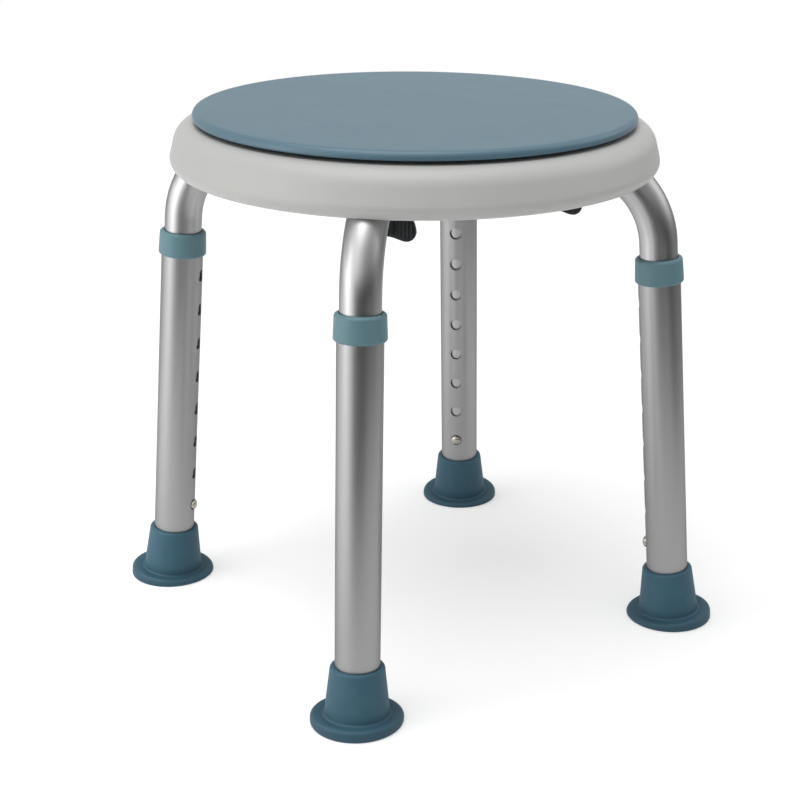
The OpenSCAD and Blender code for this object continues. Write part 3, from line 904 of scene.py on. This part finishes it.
KEPT = {
    "threaded_inserts": BRASS, "pivot_insert": BRASS, "lower_race": BLACK, "upper_race": BLACK,
    "pivot_bush": IVORY, "ball_cage": IVORY, "bearing_balls": STEEL, "pivot_washer": ZINC,
}
for leg in LEGS:
    KEPT[leg + "_arm_plug"] = BLACK
    KEPT[leg + "_foot_disc"] = ZINC
    KEPT[leg + "_screw_stud"] = ZINC
for name, finish in KEPT.items():
    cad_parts[name].material_slots[0].material = finish


# ---------------------------------------------------------------- floor, light and camera

def make_floor():
    """A pale sheet that keeps the stool's shadow, and glows a little to the eye and to mirrors."""
    left, right, front, back = -1.3, 0.7, -0.6, 1.6
    mesh = bpy.data.meshes.new("floor")
    corners = [(left, front, 0), (right, front, 0), (right, back, 0), (left, back, 0)]
    mesh.from_pydata(corners, [], [(0, 1, 2, 3)])
    floor = shown("floor", mesh)
    f = Finish("floor_white")
    seen = f.rays("Camera", "Glossy", "Transmission")
    paint = f.node("BsdfDiffuse", {}, {"Color": (0.8, 0.8, 0.8, 1)})
    glow = f.node("Emission", {}, {"Color": (1, 1, 1, 1), "Strength": 0.36})
    lifted = f.node("AddShader", {}, {0: paint, 1: glow})
    f.node("OutputMaterial", {}, {"Surface": f.node("MixShader", {}, {0: seen, 1: paint, 2: lifted})})
    mesh.materials.append(f.material)
    # the floor goes down with the front foot, so that a raised stool still stands on it
    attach(floor, "front_leg")


def make_world():
    """A white surround with a plain level of light; shiny surfaces mirror the walls of a studio."""
    world = Finish("studio", bpy.data.worlds)
    bpy.context.scene.world = world.material
    side, deep, high = world.parts(world.node("TexCoord", out="Generated"))
    seen = world.rays("Camera", "Transmission")
    plain = world.node("Background", {}, {"Color": (1, 1, 1, 1), "Strength": 0.5})
    white = world.node("Background", {}, {"Color": (1, 1, 1, 1), "Strength": 1.0})
    # turn runs from the back (0) by the left (0.25), the front (0.5) and the right (0.75) to the back;
    # the walls are palest at the left, and low down they are dim at the front
    turn = world.node("Math", {"operation": "ARCTAN2"}, {0: side, 1: deep * -1.0}) * (0.5 / math.pi) + 0.5
    low = world.node("ValToRGB", {"stops": [
        (0.0, 0.25), (0.08, 0.2), (0.2, 0.25), (0.27, 0.55), (0.33, 0.7), (0.40, 0.6),
        (0.45, 0.1), (0.5, 0.01), (0.7, 0.01), (0.78, 0.1), (0.9, 0.14), (1.0, 0.25),
    ]}, {0: turn})
    mid = world.node("ValToRGB", {"stops": [
        (0.0, 0.2), (0.12, 0.2), (0.25, 0.3), (0.33, 0.5), (0.42, 0.58), (0.48, 0.5), (0.54, 0.28),
        (0.6, 0.16), (0.68, 0.16), (0.74, 0.3), (0.8, 0.6), (0.87, 0.5), (0.94, 0.2), (1.0, 0.2),
    ]}, {0: turn})
    walls = world.blend(high.step(0.02, 0.3), low, mid)
    room = world.blend(high.step(0.6, 0.9), walls, (0.45, 0.45, 0.45))
    mirrored = world.node("Background", {}, {"Color": room, "Strength": 3.0})
    around = world.node("MixShader", {}, {0: seen, 1: plain, 2: white})
    shade = world.node("MixShader", {}, {0: world.rays("Glossy"), 1: around, 2: mirrored})
    world.node("OutputWorld", {}, {"Surface": shade})


def make_lamp(name, kind, spot, power, size, at=(0, 0, 0.2)):
    """A lamp aimed at the middle of the stool, or where it is told to point."""
    data = bpy.data.lights.new(name, kind)
    data.energy = power
    if kind == "SUN":
        data.angle = size
    else:
        data.shape = "RECTANGLE"
        data.size, data.size_y = size
    lamp = shown(name, data)
    lamp.visible_camera = False
    lamp.location = spot
    aim = Vector(at) - Vector(spot)
    lamp.rotation_euler = aim.to_track_quat("-Z", "Y").to_euler()


def make_camera():
    """A camera in front of the stool and a little to its right, looking down on the seat."""
    data = bpy.data.cameras.new("camera")
    data.lens = 76.85
    data.sensor_width = 36
    data.shift_x = -0.1
    camera = shown("camera", data)
    place = (0.2223, -1.1015, 0.5569)
    turn, tilt, roll = (math.radians(a) for a in (9.112, 70.034, 0.9055))
    aim = Matrix.Rotation(turn, 4, "Z") @ Matrix.Rotation(tilt, 4, "X") @ Matrix.Rotation(roll, 4, "Z")
    camera.matrix_world = Matrix.Translation(place) @ aim
    bpy.context.scene.camera = camera


make_floor()
make_world()
make_lamp("high_softbox", "SUN", (-0.2, -0.3, 1.75), 1.3, math.radians(50))
make_lamp("left_strip", "AREA", (-1.15, -0.8, 0.45), 2.4, (0.5, 1.0))
make_lamp("floor_wash", "AREA", (-0.65, -0.3, 0.32), 2.0, (0.6, 0.8), (-0.65, -0.3, 0))
make_camera()
bpy.context.scene.view_settings.view_transform = "Standard"
